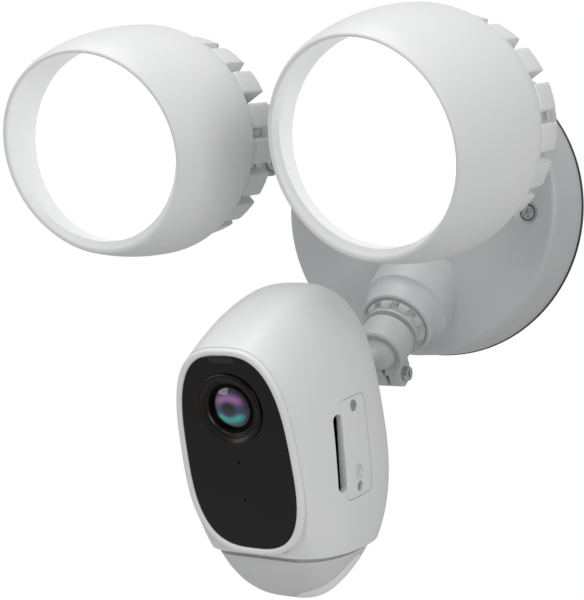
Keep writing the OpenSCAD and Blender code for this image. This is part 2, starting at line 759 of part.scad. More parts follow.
base_cover();
base_plate();
base_gasket();
cable_grommet();
cover_screws();
driver_board();
driver_transformer();
driver_capacitors();
terminal_block();
siren();
lock_ring_left();
lock_ring_right();
lock_ring_camera();
arm_left();
arm_right();
arm_camera();
clamp_screw_left();
clamp_screw_right();
clamp_screw_camera();
clamp_nut_left();
clamp_nut_right();
clamp_nut_camera();
lamp_shell_left();
heatsink_left();
lamp_stem_left();
diffuser_left();
reflector_left();
led_board_left();
leds_left();
lamp_seal_left();
lamp_screws_left();
lamp_shell_right();
heatsink_right();
lamp_stem_right();
diffuser_right();
reflector_right();
led_board_right();
leds_right();
lamp_seal_right();
lamp_screws_right();
head_stem();
stem_nut();
head() head_collar();
head() head_shell();
head() head_bezel();
head() window();
head() lens_ring();
head() lens_barrel();
head() lens_glass();
head() camera_board();
head() main_board();
head() speaker();
head() pir_collar();
head() pir_dome();
head() pir_sensor();
head() card_cover();
head() card_cover_screws();
head() card_reader();
head() reset_button();
head() button_spring();
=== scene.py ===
"""Floodlight security camera: looks, stage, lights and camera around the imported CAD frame."""
import json
import math

import bmesh
import bpy
from mathutils import Matrix, Vector


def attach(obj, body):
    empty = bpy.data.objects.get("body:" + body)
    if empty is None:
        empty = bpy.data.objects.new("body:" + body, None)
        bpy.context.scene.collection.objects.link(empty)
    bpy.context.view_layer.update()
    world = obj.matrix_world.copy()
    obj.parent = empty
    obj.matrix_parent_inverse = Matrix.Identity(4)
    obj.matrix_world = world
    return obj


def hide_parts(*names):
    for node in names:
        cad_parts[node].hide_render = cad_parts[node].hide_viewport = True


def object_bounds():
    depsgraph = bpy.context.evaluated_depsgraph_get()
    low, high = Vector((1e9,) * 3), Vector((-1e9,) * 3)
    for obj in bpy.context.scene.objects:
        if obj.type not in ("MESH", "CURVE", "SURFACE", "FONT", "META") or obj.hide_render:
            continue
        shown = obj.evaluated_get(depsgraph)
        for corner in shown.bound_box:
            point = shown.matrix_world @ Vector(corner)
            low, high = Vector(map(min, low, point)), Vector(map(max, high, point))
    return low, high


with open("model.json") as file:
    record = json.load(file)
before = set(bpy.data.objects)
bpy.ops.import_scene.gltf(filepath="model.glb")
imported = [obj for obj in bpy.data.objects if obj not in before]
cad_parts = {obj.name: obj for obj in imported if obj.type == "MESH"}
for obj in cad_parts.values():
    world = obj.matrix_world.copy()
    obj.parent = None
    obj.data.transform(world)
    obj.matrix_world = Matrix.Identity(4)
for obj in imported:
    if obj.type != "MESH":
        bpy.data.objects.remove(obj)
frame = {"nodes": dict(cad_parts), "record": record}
cad_box = [list(c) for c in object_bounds()]
MM = 0.001
joints = {j["name"]: j for j in frame["record"]["behaviour"]["joints"]}
body_of_node = {n: b for b, nodes in frame["record"]["behaviour"]["bodies"].items() for n in nodes}
scene = bpy.context.scene


# ---- finishes ---------------------------------------------------------------

def srgb(code):
    """An sRGB hex colour as a linear RGBA value."""
    parts = [int(code[i:i + 2], 16) / 255 for i in (1, 3, 5)]
    return [c / 12.92 if c <= 0.04045 else ((c + 0.055) / 1.055) ** 2.4 for c in parts] + [1.0]


def node(tree, kind, settings=None, **links):
    """Add one node, set its properties and sockets, and link the named inputs."""
    n = tree.nodes.new(kind)
    for key, value in (settings or {}).items():
        if key in n.inputs:
            n.inputs[key].default_value = value
        else:
            setattr(n, key, value)
    for key, source in links.items():
        tree.links.new(source, n.inputs[key.replace("_", " ")])
    return n


def finish(name, colour, roughness, **extra):
    """A material with the constant sockets of its shader set. Gives the material, its
    tree, its shader and the Object coordinates that its patterns read."""
    m = bpy.data.materials.new(name)
    m.use_nodes = True
    tree = m.node_tree
    shader = tree.nodes["Principled BSDF"]
    shader.inputs["Base Color"].default_value = srgb(colour)
    shader.inputs["Roughness"].default_value = roughness
    for key, value in extra.items():
        shader.inputs[key.replace("_", " ")].default_value = value
    place = node(tree, "ShaderNodeTexCoord").outputs["Object"]
    return m, tree, shader, place


def ramp(tree, source, stops, interpolation="LINEAR"):
    """A colour ramp over the given (position, sRGB hex) stops."""
    n = node(tree, "ShaderNodeValToRGB", Fac=source)
    n.color_ramp.interpolation = interpolation
    elements = n.color_ramp.elements
    while len(elements) < len(stops):
        elements.new(0.5)
    for element, (position, colour) in zip(elements, stops):
        element.position = position
        element.color = srgb(colour)
    return n.outputs["Color"]


def roughen(tree, shader, source, low, high):
    """Let the roughness follow a 0 to 1 source between two values."""
    spread = node(tree, "ShaderNodeMapRange", {"To Min": low, "To Max": high}, Value=source)
    tree.links.new(spread.outputs["Result"], shader.inputs["Roughness"])


def bump(tree, shader, source, depth, strength=1.0):
    """Raise the surface by a 0 to 1 source, up to a depth in mm."""
    n = node(tree, "ShaderNodeBump", {"Strength": strength, "Distance": depth * MM}, Height=source)
    tree.links.new(n.outputs["Normal"], shader.inputs["Normal"])


def moulded(name, tones, roughness, grain, depth, cloud=45, **extra):
    """Injection-moulded plastic or a sprayed coat: a fine even grain from the tool, a
    faint drift of tone over the cloud size, and a roughness that drifts with it. Sizes
    in mm. The true grain is about 0.05 mm, drawn coarser so that it shows."""
    m, tree, shader, place = finish(name, tones[0], roughness, **extra)
    fine = node(tree, "ShaderNodeTexNoise", {"Scale": 1 / (grain * MM), "Detail": 3.0},
                Vector=place)
    broad = node(tree, "ShaderNodeTexNoise", {"Scale": 1 / (cloud * MM), "Detail": 2.0},
                 Vector=place)
    tree.links.new(ramp(tree, broad.outputs["Fac"], [(0.3, tones[0]), (0.7, tones[1])]),
                   shader.inputs["Base Color"])
    roughen(tree, shader, broad.outputs["Fac"], roughness - 0.05, roughness + 0.05)
    bump(tree, shader, fine.outputs["Fac"], depth)
    return m


def plated(name, tones, roughness, grain):
    """Rolled or plated metal: crystals or fine scratches of slightly different tone."""
    m, tree, shader, place = finish(name, tones[0], roughness, Metallic=1.0)
    cells = node(tree, "ShaderNodeTexVoronoi", {"Scale": 1 / (grain * MM)}, Vector=place)
    shade = node(tree, "ShaderNodeSeparateColor", Color=cells.outputs["Color"])
    tree.links.new(ramp(tree, shade.outputs["Red"], [(0.0, tones[0]), (1.0, tones[1])]),
                   shader.inputs["Base Color"])
    roughen(tree, shader, shade.outputs["Green"], roughness - 0.06, roughness + 0.1)
    return m


# Injection-moulded white ABS with a fine satin grain: soft wide highlights
white_abs = moulded("satin_white_abs", ("#dadbdb", "#dededf"), 0.42, 0.5, 0.006)
# The same white plastic on the wall base, with painted shade: one shade greyer to stand for the
# shade it sits in
shaded_white_abs = moulded("satin_white_abs_painted_shade", ("#b4b5b6", "#babbbc"), 0.46, 0.5, 0.008)
# Glass-filled nylon of the arms and rings: stronger, a little rougher and greyer
arm_nylon = moulded("moulded_arm_nylon", ("#abacac", "#b2b3b3"), 0.5, 0.4, 0.01)
# Smooth bright rim around the window
rim_abs = moulded("polished_white_abs", ("#dcdddd", "#e2e2e2"), 0.3, 0.8, 0.003)
# Die-cast aluminium under white powder coat: a faint orange peel of about 1 mm
powder_coat = moulded("powder_coated_casting", ("#d4d5d5", "#dadada"), 0.48, 1.1, 0.03)
# White reflector lacquer, white board mask and painted inner parts
reflector_white = moulded("white_reflector_lacquer", ("#ececea", "#f2f2f0"), 0.28, 0.8, 0.004)
board_white = moulded("white_solder_mask", ("#e2e2de", "#e9e9e6"), 0.4, 0.3, 0.005)
# Matt black mouldings: lens barrel, speaker and siren
black_moulding = moulded("matt_black_nylon", ("#101011", "#161617"), 0.55, 0.4, 0.01)
capacitor_sleeve = moulded("heat_shrink_sleeve", ("#141f3c", "#1a2748"), 0.3, 0.8, 0.01)
terminal_green = moulded("moulded_terminal_green", ("#2a6b45", "#30764d"), 0.4, 0.4, 0.01)
winding_tape = moulded("polyester_winding_tape", ("#9b8a45", "#a8964d"), 0.35, 1.5, 0.03)
phosphor = moulded("led_phosphor", ("#e0c452", "#ecd468"), 0.35, 0.2, 0.01)
button_grey = moulded("moulded_button_abs", ("#c9cacb", "#cfd0d1"), 0.4, 0.4, 0.006)
# Soft black rubber of the cable grommet
grommet_rubber = moulded("black_rubber", ("#191919", "#222222"), 0.75, 0.4, 0.02)
# Bright zinc on screws and nuts, nickel on the sensor can, spangled zinc on the plate
zinc = plated("zinc_plated_steel", ("#b4b6b9", "#c6c8cb"), 0.32, 0.7)
nickel = plated("nickel_plated_can", ("#bdbbb4", "#cbc9c2"), 0.25, 0.5)
spangle = plated("galvanised_sheet", ("#a7abae", "#c0c4c7"), 0.38, 7.0)


def closed_cell_foam():
    """Sponge gasket: dark, with open pores of about half a millimetre, each painted darker towards
    its sunken middle as shade.
    """
    m, tree, shader, place = finish("closed_cell_foam", "#2c2c2e", 0.9)
    pores = node(tree, "ShaderNodeTexVoronoi", {"Scale": 1 / (0.6 * MM)}, Vector=place)
    # Painted shade: darker where the pores sink deepest
    tree.links.new(ramp(tree, pores.outputs["Distance"], [(0.0, "#1c1c1e"), (0.6, "#353538")]),
                   shader.inputs["Base Color"])
    bump(tree, shader, pores.outputs["Distance"], 0.15)
    return m


def solder_mask():
    """Green circuit board: paler copper tracks under the mask, on a 1.27 mm grid."""
    m, tree, shader, place = finish("green_solder_mask", "#0d3d22", 0.3)
    tracks = node(tree, "ShaderNodeTexBrick", {
        "Scale": 1 / (1.27 * 4 * MM), "Mortar Size": 0.05, "Color1": srgb("#0c3a20"),
        "Color2": srgb("#0f4527"), "Mortar": srgb("#1d6b3c")}, Vector=place)
    tree.links.new(tracks.outputs["Color"], shader.inputs["Base Color"])
    bump(tree, shader, tracks.outputs["Fac"], 0.03)
    return m


def opal_lit():
    """Opal acrylic lit from behind: an even white glow, a touch dimmer between the LEDs."""
    m, tree, shader, place = finish("lit_opal_acrylic", "#f4f4f2", 0.35)
    cloud = node(tree, "ShaderNodeTexNoise", {"Scale": 1 / (12 * MM), "Detail": 1.0},
                 Vector=place)
    tree.links.new(ramp(tree, cloud.outputs["Fac"], [(0.3, "#fafafa"), (0.7, "#ffffff")]),
                   shader.inputs["Emission Color"])
    shader.inputs["Emission Strength"].default_value = 0.62
    bump(tree, shader, cloud.outputs["Fac"], 0.01)
    return m


def black_acrylic():
    """Polished black acrylic window: mirror gloss with the faintest flow ripple."""
    m, tree, shader, place = finish("polished_black_acrylic", "#080808", 0.07, IOR=1.38)
    flow = node(tree, "ShaderNodeTexNoise", {"Scale": 1 / (30 * MM), "Detail": 1.0},
                Vector=place)
    tree.links.new(ramp(tree, flow.outputs["Fac"], [(0.3, "#060606"), (0.7, "#080809")]),
                   shader.inputs["Base Color"])
    roughen(tree, shader, flow.outputs["Fac"], 0.05, 0.1)
    bump(tree, shader, flow.outputs["Fac"], 0.02)
    return m


def anodised(name, tones, roughness, pitch):
    """Turned and anodised aluminium: concentric tool marks a fraction of a mm apart."""
    m, tree, shader, place = finish(name, tones[0], roughness, Metallic=1.0)
    centred = node(tree, "ShaderNodeMapping", {"vector_type": "TEXTURE",
                   "Location": head_place.translation, "Rotation": head_place.to_euler()},
                   Vector=place)
    rings = node(tree, "ShaderNodeTexWave", {"wave_type": "RINGS", "rings_direction": "Y",
                 "Scale": 1 / (20 * pitch * MM), "Distortion": 0.0},
                 Vector=centred.outputs["Vector"])
    tree.links.new(ramp(tree, rings.outputs["Fac"], [(0.0, tones[0]), (1.0, tones[1])]),
                   shader.inputs["Base Color"])
    bump(tree, shader, rings.outputs["Fac"], 0.01)
    return m


def painted_reflection_glass():
    """Front lens element: a dark pupil of painted shade inside rings of painted coating
    reflections, plum above and teal below, under a polished surface."""
    m, tree, shader, place = finish("lens_glass_painted_reflections", "#101018", 0.04, IOR=1.52,
                                    Coat_Weight=0.6, Coat_Roughness=0.02)
    centred = node(tree, "ShaderNodeMapping", {"vector_type": "TEXTURE",
                   "Location": head_place.translation, "Rotation": head_place.to_euler(),
                   "Scale": (9 * MM, 9 * MM, 9 * MM)}, Vector=place)
    local = centred.outputs["Vector"]
    parts = node(tree, "ShaderNodeSeparateXYZ", Vector=local)
    flat = node(tree, "ShaderNodeCombineXYZ", X=parts.outputs["X"], Z=parts.outputs["Z"])
    radius = node(tree, "ShaderNodeVectorMath", {"operation": "LENGTH"},
                  Vector=flat.outputs["Vector"]).outputs["Value"]
    height = node(tree, "ShaderNodeMapRange", {"From Min": -0.8, "From Max": 0.8},
                  Value=parts.outputs["Z"]).outputs["Result"]
    # Painted reflections of the coating: teal low down, plum high up
    painted_reflection_tint = ramp(tree, height, [(0.0, "#1a6a80"), (0.24, "#3fd0b4"), (0.42, "#27406c"),
                               (0.6, "#4d4a68"), (0.8, "#c07ab0"), (1.0, "#6a5f88")])
    # Painted reflections in bright rings, between a dark pupil of painted shade and a dark edge
    rings = ramp(tree, radius, [(0.0, "#05060c"), (0.14, "#10204a"), (0.2, "#070810"),
                                (0.3, "#39455f"), (0.42, "#aab2c8"), (0.62, "#e2e6f0"),
                                (0.82, "#9a9eb0"), (0.92, "#1a1a20"), (1.0, "#050506")])
    mixed = node(tree, "ShaderNodeMix", {"data_type": "RGBA", "blend_type": "MULTIPLY"})
    mixed.inputs["Factor"].default_value = 1.0
    colours = [s for s in mixed.inputs if s.type == "RGBA"]
    tree.links.new(painted_reflection_tint, colours[0])
    tree.links.new(rings, colours[1])
    result = [s for s in mixed.outputs if s.type == "RGBA"][0]
    tree.links.new(result, shader.inputs["Base Color"])
    return m


def milky_polyethylene():
    """Motion-sensor dome: milky plastic that light sinks into, with a paler oval where
    the wall is thin."""
    m, tree, shader, place = finish("milky_polyethylene", "#cfcfcf", 0.36,
                                    Subsurface_Weight=0.25, Subsurface_Scale=0.004)
    centred = node(tree, "ShaderNodeMapping", {"vector_type": "TEXTURE",
                   "Location": lens_patch.translation, "Rotation": lens_patch.to_euler(),
                   "Scale": (22.5 * MM, 13 * MM, 13 * MM)}, Vector=place)
    span = node(tree, "ShaderNodeVectorMath", {"operation": "LENGTH"},
                Vector=centred.outputs["Vector"]).outputs["Value"]
    cloud = node(tree, "ShaderNodeTexNoise", {"Scale": 1 / (20 * MM), "Detail": 2.0},
                 Vector=place)
    tone = ramp(tree, span, [(0.0, "#f2f2f2"), (0.93, "#ececec"), (1.0, "#bdbdbd"),
                             (1.06, "#cccccc")])
    tree.links.new(tone, shader.inputs["Base Color"])
    edge = node(tree, "ShaderNodeMapRange", {"From Min": 0.94, "From Max": 1.02},
                Value=span).outputs["Result"]
    bump(tree, shader, edge, 0.25)
    roughen(tree, shader, cloud.outputs["Fac"], 0.3, 0.42)
    return m


# ---- frames on the object -----------------------------------------------------

def along(joint, forward=0.0, turn=0.0):
    """Frame at a joint: +Z along its axis, +X level, +Y up, moved forward (mm), turned."""
    z = Vector(joints[joint]["axis"])
    x = Vector((-z.y, z.x, 0)).normalized()
    turned_axes = Matrix((x, z.cross(x), z)).transposed().to_4x4()
    return (Matrix.Translation(joints[joint]["pos_m"]) @ turned_axes
            @ Matrix.Translation((0, 0, forward * MM))
            @ Matrix.Rotation(math.radians(turn), 4, "Z"))


# Lamp sizes, in mm
lamp_r, lamp_front, lamp_taper, lamp_rear, lamp_wall = 53.3, 46.6, 91, 17, 2.4
visor_slant, diffuser_r, diffuser_z, lamp_reach = 11, 42.7, 29, 98
lamp_roll = {"left": 20, "right": -38}
lamp_back = 36      # how far the shell's curve would run behind its widest place

# Head sizes, in mm. The head frame has its origin at the lens centre and -Y forward.
window_w, window_h, window_drop, rim_w = 26.3, 44.2, 20.3, 2.8
head_w, head_d, head_wall, lens_r = 35.5, 98.5, 2.6, 16
head_reach, lens_rise = 135, 21.3
stem_z, seam_z, seam_slope, widest, crown, chin = -lens_rise, -68, 15.5, 38, 37.3, -103
superness = 2.9     # power of the ovals: 2 is an ellipse, more is squarer
card_w, card_h, card_gap = 21.8, 43.8, 0.3

stem_axis = along("camera_head_turn")
head_place = (stem_axis @ Matrix.Rotation(math.radians(-90), 4, "X")
              @ Matrix.Translation((0, -head_reach * MM, lens_rise * MM)))
lens_patch = (head_place @ Matrix.Translation((0.022, 0.028, -0.096))
              @ Matrix.Rotation(math.radians(55), 4, "Z")
              @ Matrix.Rotation(math.radians(-14), 4, "Y"))
scale_mm = Matrix.Scale(MM, 4)

bronze = anodised("bronze_anodised_ring", ("#2b2928", "#353230"), 0.3, 0.4)
lens_black = anodised("black_anodised_barrel", ("#0c0c0c", "#141414"), 0.38, 0.5)
glass = painted_reflection_glass()
dome_plastic = milky_polyethylene()
foam, green_board, lit, acrylic = closed_cell_foam(), solder_mask(), opal_lit(), black_acrylic()


# ---- making pieces --------------------------------------------------------------

def add_piece(name, bm, material, body, place=None, replaced=(), smooth=32):
    """Finish a mesh as an object: place it, point its faces outwards, shade it smooth up
    to an angle, and let it ride on its body in place of the CAD nodes that it details."""
    if place is not None:
        bmesh.ops.transform(bm, matrix=place @ scale_mm, verts=bm.verts)
    bmesh.ops.remove_doubles(bm, verts=bm.verts, dist=0.002 * MM)
    bmesh.ops.recalc_face_normals(bm, faces=bm.faces)
    mesh = bpy.data.meshes.new(name)
    bm.to_mesh(mesh)
    bm.free()
    mesh.shade_smooth()
    mesh.set_sharp_from_angle(angle=math.radians(smooth))
    mesh.materials.append(material)
    piece = bpy.data.objects.new(name, mesh)
    scene.collection.objects.link(piece)
    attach(piece, body)
    if replaced:
        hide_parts(*replaced)
    return piece


def spun(outline, steps=96):
    """A turned body: (radius, height) points in mm, spun a full turn about Z."""
    bm = bmesh.new()
    verts = [bm.verts.new((r, 0, z)) for r, z in outline]
    edges = [bm.edges.new(pair) for pair in zip(verts, verts[1:])]
    if outline[0][0] > 0 and outline[-1][0] > 0:
        edges.append(bm.edges.new((verts[-1], verts[0])))
    bmesh.ops.spin(bm, geom=verts + edges, cent=(0, 0, 0), axis=(0, 0, 1),
                   angle=math.tau, steps=steps, use_merge=True)
    bmesh.ops.remove_doubles(bm, verts=bm.verts, dist=1e-4)
    bmesh.ops.recalc_face_normals(bm, faces=bm.faces)
    return bm


def arc(centre, radius, first, last, steps=5):
    """Points of an arc in an outline, from one angle to another in degrees."""
    angles = [math.radians(first + (last - first) * k / steps) for k in range(steps + 1)]
    return [(centre[0] + radius * math.cos(a), centre[1] + radius * math.sin(a)) for a in angles]


def soften(bm, width, angle=38, segments=2):
    """Round every edge that is sharper than the angle."""
    sharp = [e for e in bm.edges if e.is_manifold and e.calc_face_angle(0) > math.radians(angle)]
    bmesh.ops.bevel(bm, geom=sharp, offset=width, offset_type="OFFSET", segments=segments,
                    profile=0.5, affect="EDGES", clamp_overlap=True, material=-1)


def softened(name, width, material, angle=38, segments=2, smooth=32):
    """A copy of a CAD node with its sharp edges rounded, as moulded and cast parts have."""
    bm = bmesh.new()
    bm.from_mesh(frame["nodes"][name].data)
    bmesh.ops.remove_doubles(bm, verts=bm.verts, dist=0.002 * MM)
    bmesh.ops.dissolve_limit(bm, angle_limit=math.radians(0.5), verts=bm.verts, edges=bm.edges)
    soften(bm, width * MM, angle, segments)
    return add_piece(name + "_soft", bm, material, body_of_node[name], replaced=[name],
                     smooth=smooth)


def carve(bm, *cutters, operation="DIFFERENCE"):
    """Cut closed meshes out of a closed mesh, or keep what they share, exactly."""
    made = []
    for k, part in enumerate((bm,) + cutters):
        mesh = bpy.data.meshes.new("carve_%d" % k)
        part.to_mesh(mesh)
        part.free()
        made.append(bpy.data.objects.new("carve_%d" % k, mesh))
        scene.collection.objects.link(made[-1])
    for cutter in made[1:]:
        cut = made[0].modifiers.new("cut", "BOOLEAN")
        cut.operation, cut.solver, cut.object = operation, "EXACT", cutter
    result = bmesh.new()
    result.from_mesh(made[0].evaluated_get(bpy.context.evaluated_depsgraph_get()).to_mesh())
    for o in made:
        mesh = o.data
        bpy.data.objects.remove(o)
        bpy.data.meshes.remove(mesh)
    return result


# ---- lamps ----------------------------------------------------------------------

def shell_r(z):
    """Outer radius of a lamp shell, in mm, at a distance in front of its widest place."""
    return lamp_r * math.sqrt(1 - (z / (lamp_taper if z >= 0 else lamp_back)) ** 2)


def hood():
    """A lamp shell: a barrel that narrows both ways, with a rounded slanted rim, the
    sight hood inside it and the groove that holds the diffuser."""
    inner = diffuser_r + 0.2
    lip = lamp_front
    outer = [(shell_r(-lamp_rear + k * 2.1), -lamp_rear + k * 2.1) for k in range(30)]
    outer = [p for p in outer if p[1] < lip - 1.6]
    edge = arc((shell_r(lip) - 1.2, lip - 1.2), 1.2, 0, 180, 8)
    back = [(inner, z) for z in (lip - 4, lip - 8, diffuser_z + 4, diffuser_z + 0.02)]
    groove = [(diffuser_r + 1.9, diffuser_z + 0.01), (diffuser_r + 1.9, diffuser_z - 3.6),
              (shell_r(20) - lamp_wall, 20), (shell_r(8) - lamp_wall, 8),
              (shell_r(-4) - lamp_wall, -4), (shell_r(-lamp_rear) - lamp_wall, -lamp_rear)]
    bm = spun(outer + edge + back + groove, 128)
    slope = math.tan(math.radians(visor_slant))
    for v in bm.verts:
        r = math.hypot(v.co.x, v.co.y)
        share = min(1, max(0, (v.co.z - diffuser_z - 0.5) / (lip - diffuser_z - 0.5)))
        on_wall = r > inner + 0.4 and share > 0
        share = share if r < inner + 0.4 or v.co.z > diffuser_z + 1 else 0
        lifted = v.co.z + v.co.y * slope * share
        if on_wall and share:
            k = 1 + (shell_r(min(lifted, 70)) - shell_r(min(v.co.z, 70))) / r
            v.co.x, v.co.y = v.co.x * k, v.co.y * k
        v.co.z = lifted
    return bm


for side in ("left", "right"):
    place = along(side + "_lamp_turn", lamp_reach, lamp_roll[side])
    add_piece("lamp_hood_" + side, hood(), white_abs, "lamp_" + side, place,
              ["lamp_shell_" + side])
    softened("heatsink_" + side, 0.7, powder_coat, segments=3)
    softened("lamp_stem_" + side, 0.4, arm_nylon)
    softened("lamp_screws_" + side, 0.2, zinc)
    # Opal disc with a soft edge and a slight crown
    crowned = ([(0, diffuser_z + 0.9), (12, diffuser_z + 0.82), (26, diffuser_z + 0.55),
                (diffuser_r - 3, diffuser_z + 0.1)]
               + [(diffuser_r - 0.4, diffuser_z - 0.2), (diffuser_r + 1.8, diffuser_z - 0.2),
                  (diffuser_r + 1.8, diffuser_z - 3), (0, diffuser_z - 3)])
    add_piece("opal_lens_" + side, spun(crowned), lit, "lamp_" + side, place,
              ["diffuser_" + side])


# ---- base and arms ----------------------------------------------------------------

# The base cover takes the white plastic painted one shade greyer as shade
softened("base_cover", 0.8, shaded_white_abs, segments=3)
softened("cover_screws", 0.25, zinc)
for port in ("left", "right", "camera"):
    softened("arm_" + port, 0.5, arm_nylon, segments=3)
    softened("lock_ring_" + port, 0.5, arm_nylon, segments=3)
    softened("clamp_screw_" + port, 0.3, zinc)
    softened("clamp_nut_" + port, 0.3, zinc)


# ---- camera head ----------------------------------------------------------------------

def tail(d, power):
    """Share of the full width that is left at a depth behind the widest section."""
    return 1 if d <= widest else (1 - ((d - widest) / (head_d - widest)) ** power) ** (1 / power)


def half_width(d):
    if d <= widest:
        return head_w - (head_w - window_w - rim_w) * ((widest - d) / widest) ** 2.2
    return head_w * tail(d, 2.3)


def top(d):
    if d <= 52:
        return crown - (crown + window_drop - window_h - rim_w) * ((52 - d) / 52) ** 1.7
    return stem_z + (crown - stem_z) * (1 - ((d - 52) / (head_d - 52)) ** 2.2) ** (1 / 2.2)


def bottom(d):
    if d <= 30:
        return chin - (chin + window_drop + window_h + rim_w) * ((30 - d) / 30) ** 2.6
    return stem_z + (chin - stem_z) * (1 - ((d - 30) / (head_d - 30)) ** 2.3) ** (1 / 2.3)


def oval_loop(bm, w, h, y, z, count):
    """A superellipse loop, a little narrower at the top, square to Y."""
    loop = bmesh.ops.create_circle(bm, segments=count, radius=1)["verts"]
    for v in loop:
        c, s = v.co.x, v.co.y
        up = math.copysign(abs(s) ** (2 / superness), s)
        across = math.copysign(abs(c) ** (2 / superness), c)
        v.co = (w * (1 - 0.055 * up) * across, y, z + h * up)
    return loop


def edges_of(loop):
    """The edges that run within a loop of vertices."""
    inside = set(loop)
    return list({e for v in loop for e in v.link_edges if e.other_vert(v) in inside})


def egg(inset, front, back, count=128, slices=44):
    """The head's form between two depths, drawn in by a wall, closed at both ends."""
    bm = bmesh.new()
    depths = [front + (back - front) * math.sin(k * math.pi / 2 / slices)
              for k in range(slices + 1)]
    loops = []
    for d in depths:
        q = min(d, head_d - 0.05)
        w = max(half_width(q) - inset, 0.5)
        t, b = max(top(q) - inset, stem_z + 0.5), min(bottom(q) + inset, stem_z - 0.5)
        loops.append(oval_loop(bm, w, (t - b) / 2, d, (t + b) / 2, count))
    for a, b in zip(loops, loops[1:]):
        bmesh.ops.bridge_loops(bm, edges=edges_of(a) + edges_of(b))
    bmesh.ops.contextual_create(bm, geom=loops[0])
    bmesh.ops.contextual_create(bm, geom=loops[-1])
    bmesh.ops.recalc_face_normals(bm, faces=bm.faces)
    return bm


def seam_cut(bm, drop, keep_above):
    """Cut a closed form on the sloping seam of the dome, and close the cut."""
    turn = Matrix.Rotation(math.radians(-seam_slope), 3, "X")
    cut = bmesh.ops.bisect_plane(
        bm, geom=bm.verts[:] + bm.edges[:] + bm.faces[:], dist=1e-4,
        plane_co=(0, 0, seam_z - drop), plane_no=turn @ Vector((0, 0, 1)),
        clear_inner=keep_above, clear_outer=not keep_above)
    rim = [e for e in cut["geom_cut"] if isinstance(e, bmesh.types.BMEdge)]
    bmesh.ops.edgeloop_fill(bm, edges=rim)
    bmesh.ops.recalc_face_normals(bm, faces=bm.faces)
    return bm


def slab(width, length, radius, low, high):
    """A plate with round corners, lying in XY between two heights."""
    bm = bmesh.new()
    bmesh.ops.create_cube(bm, size=1)
    bmesh.ops.scale(bm, vec=(width, length, high - low), verts=bm.verts)
    bmesh.ops.translate(bm, vec=(0, 0, (low + high) / 2), verts=bm.verts)
    upright = [e for e in bm.edges if abs(e.verts[0].co.z - e.verts[1].co.z) > 1e-6]
    bmesh.ops.bevel(bm, geom=upright, offset=radius, segments=8, profile=0.5,
                    affect="EDGES", material=-1)
    return bm


def moved(bm, matrix):
    bmesh.ops.transform(bm, matrix=matrix, verts=bm.verts)
    return bm


def turn(degrees, axis):
    return Matrix.Rotation(math.radians(degrees), 4, axis)


card_place = (Matrix.Translation((head_w - 2.6, 40, -31)) @ turn(90, "Y") @ turn(90, "Z")
              @ turn(-4, "Y") @ turn(-9, "Z"))
forward = turn(90, "X")
rear_hole = Matrix.Translation((0, head_d + 5, stem_z)) @ forward
shell = carve(
    seam_cut(egg(0, 1.5, head_d), 0, True),
    seam_cut(egg(head_wall, -1, head_d - 7.5, 96, 24), -2.2, True),
    moved(spun([(0, 0), (14.3, 0), (14.3, 8.6), (12.05, 8.6), (12.05, 30), (0, 30)]), rear_hole),
    moved(slab(card_w + 2 * card_gap, card_h + 2 * card_gap, 3.4, -0.4, 12), card_place),
    moved(slab(17, 32, 2, -6, 6), card_place),
    moved(slab(6.4, 34, 3, -3, 9), card_place @ Matrix.Translation((-14.1, 0, 0))))
add_piece("head_egg", shell, white_abs, "head", head_place, ["head_shell"], smooth=40)

dome = seam_cut(egg(2.6, 4.2, head_d), 2.42, False)
soften(dome, 0.6, 50, 3)
add_piece("sensor_dome", dome, dome_plastic, "head", head_place, ["pir_dome"], smooth=60)
collar = seam_cut(seam_cut(egg(3.6, 5.2, head_d), 0.01, False), 2.4, True)
add_piece("sensor_collar", collar, arm_nylon, "head", head_place, ["pir_collar"], smooth=40)


def rounded_bezel():
    """The pale rim around the window: an oval band with a rounded front."""
    bm = bmesh.new()
    profile = [(0.0, 1.48), (0.0, -0.3), (0.25, -0.72), (0.8, -0.92), (rim_w - 1.1, -0.92),
               (rim_w - 0.4, -0.7), (rim_w, -0.1), (rim_w, 1.48)]
    loops = [oval_loop(bm, window_w + out, window_h + out, y, -window_drop, 128)
             for out, y in profile]
    for a, b in zip(loops, loops[1:] + loops[:1]):
        bmesh.ops.bridge_loops(bm, edges=edges_of(a) + edges_of(b))
    return bm


def window_panel():
    """The black window: a flat panel with an eased edge around the lens opening."""
    bm = bmesh.new()
    outline = [(-0.5, -0.2), (-0.12, -0.05), (-0.06, 0.2), (-0.06, 2.0)]
    loops = [oval_loop(bm, window_w + out, window_h + out, y, -window_drop, 128)
             for out, y in outline]
    for y in (2.0, -0.2):
        ring = bmesh.ops.create_circle(bm, segments=128, radius=lens_r - 1)["verts"]
        for v in ring:
            v.co = (v.co.x, y, v.co.y)
        loops.append(ring)
    for a, b in zip(loops, loops[1:] + loops[:1]):
        bmesh.ops.bridge_loops(bm, edges=edges_of(a) + edges_of(b))
    bmesh.ops.recalc_face_normals(bm, faces=bm.faces)
    holes = [moved(spun([(0, -3), (0.6, -3), (0.6, 3), (0, 3)], 24),
                   Matrix.Translation((0, 0, z)) @ forward) for z in (-24.3, -41.5)]
    return carve(bm, *holes)


add_piece("window_rim", rounded_bezel(), rim_abs, "head", head_place, ["head_bezel"], 60)
add_piece("window_panel", window_panel(), acrylic, "head", head_place, ["window"], 12)
# Shaded notch for the ambient light sensor, at the top of the window
notch = slab(12.6, 2.6, 1.25, 0, 0.14)
add_piece("light_sensor_notch", notch, black_moulding, "head",
          head_place @ Matrix.Translation((0, -0.2 * MM, 21.9 * MM)) @ forward)

